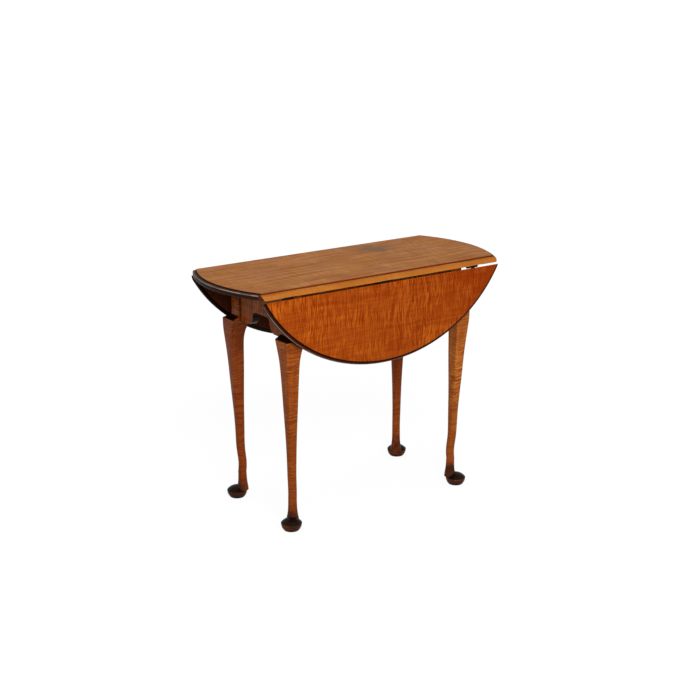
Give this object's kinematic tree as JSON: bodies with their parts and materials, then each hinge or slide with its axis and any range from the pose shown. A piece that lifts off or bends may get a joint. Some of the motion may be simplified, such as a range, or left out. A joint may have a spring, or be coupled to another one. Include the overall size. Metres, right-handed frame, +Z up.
{
  "type": "drop-leaf end table",
  "caption": "Side table with an oval top whose curved leaves hang on rule joints, cabriole legs with pad feet, arched end aprons and pull-out leaf supports.",
  "frame": {"origin": "on the floor, under the middle of the top", "axes": "+X along the length of the top, +Y towards the rear leaf, +Z up"},
  "size_m": [0.852, 0.368, 0.66],
  "materials": {
    "top_maple": "curly maple, amber brown stain, satin varnish",
    "frame_maple": "curly maple, red brown stain, satin varnish, darker rubbed feet",
    "inner_maple": "plain maple, thin stain",
    "hinge_iron": "dark oxide",
    "hinge_steel": "drawn steel",
    "screw_steel": "dull steel"
  },
  "bodies": {
    "table_frame": {"corner_block_front_left": "inner_maple", "corner_block_front_right": "inner_maple", "corner_block_rear_left": "inner_maple", "corner_block_rear_right": "inner_maple", "corner_block_screws": "screw_steel", "end_apron_left": "frame_maple", "end_apron_right": "frame_maple", "hinge_frame_plate_front_left": "hinge_iron", "hinge_frame_plate_front_middle": "hinge_iron", "hinge_frame_plate_front_right": "hinge_iron", "hinge_frame_plate_rear_left": "hinge_iron", "hinge_frame_plate_rear_middle": "hinge_iron", "hinge_frame_plate_rear_right": "hinge_iron", "hinge_pin_front_left": "hinge_steel", "hinge_pin_front_middle": "hinge_steel", "hinge_pin_front_right": "hinge_steel", "hinge_pin_rear_left": "hinge_steel", "hinge_pin_rear_middle": "hinge_steel", "hinge_pin_rear_right": "hinge_steel", "hinge_screws_frame": "screw_steel", "keeper_screws": "screw_steel", "leg_front_left": "frame_maple", "leg_front_right": "frame_maple", "leg_rear_left": "frame_maple", "leg_rear_right": "frame_maple", "side_rail_front": "inner_maple", "side_rail_rear": "inner_maple", "slide_keeper_front_left": "inner_maple", "slide_keeper_front_right": "inner_maple", "slide_keeper_rear_left": "inner_maple", "slide_keeper_rear_right": "inner_maple", "top_board": "top_maple"},
    "front_leaf": {"hinge_leaf_plate_front_left": "hinge_iron", "hinge_leaf_plate_front_middle": "hinge_iron", "hinge_leaf_plate_front_right": "hinge_iron", "hinge_screws_leaf_front": "screw_steel", "leaf_front": "top_maple"},
    "rear_leaf": {"hinge_leaf_plate_rear_left": "hinge_iron", "hinge_leaf_plate_rear_middle": "hinge_iron", "hinge_leaf_plate_rear_right": "hinge_iron", "hinge_screws_leaf_rear": "screw_steel", "leaf_rear": "top_maple"},
    "slide_front_left": {"stop_peg_front_left": "inner_maple", "support_slide_front_left": "inner_maple"},
    "slide_front_right": {"stop_peg_front_right": "inner_maple", "support_slide_front_right": "inner_maple"},
    "slide_rear_left": {"stop_peg_rear_left": "inner_maple", "support_slide_rear_left": "inner_maple"},
    "slide_rear_right": {"stop_peg_rear_right": "inner_maple", "support_slide_rear_right": "inner_maple"}
  },
  "joints": [
    {"name": "front_leaf_hinge", "type": "hinge", "parent": "table_frame", "child": "front_leaf", "pos_m": [0, -0.163, 0.639], "axis": [-1, 0, 0], "range_deg": [0, 90]},
    {"name": "rear_leaf_hinge", "type": "hinge", "parent": "table_frame", "child": "rear_leaf", "pos_m": [0, 0.163, 0.639], "axis": [1, 0, 0], "range_deg": [0, 90]},
    {"name": "slide_front_left_draw", "type": "slide", "parent": "table_frame", "child": "slide_front_left", "axis": [0, -1, 0], "range_m": [0, 0.031]},
    {"name": "slide_front_right_draw", "type": "slide", "parent": "table_frame", "child": "slide_front_right", "axis": [0, -1, 0], "range_m": [0, 0.031]},
    {"name": "slide_rear_left_draw", "type": "slide", "parent": "table_frame", "child": "slide_rear_left", "axis": [0, 1, 0], "range_m": [0, 0.031]},
    {"name": "slide_rear_right_draw", "type": "slide", "parent": "table_frame", "child": "slide_rear_right", "axis": [0, 1, 0], "range_m": [0, 0.031]}
  ]
}
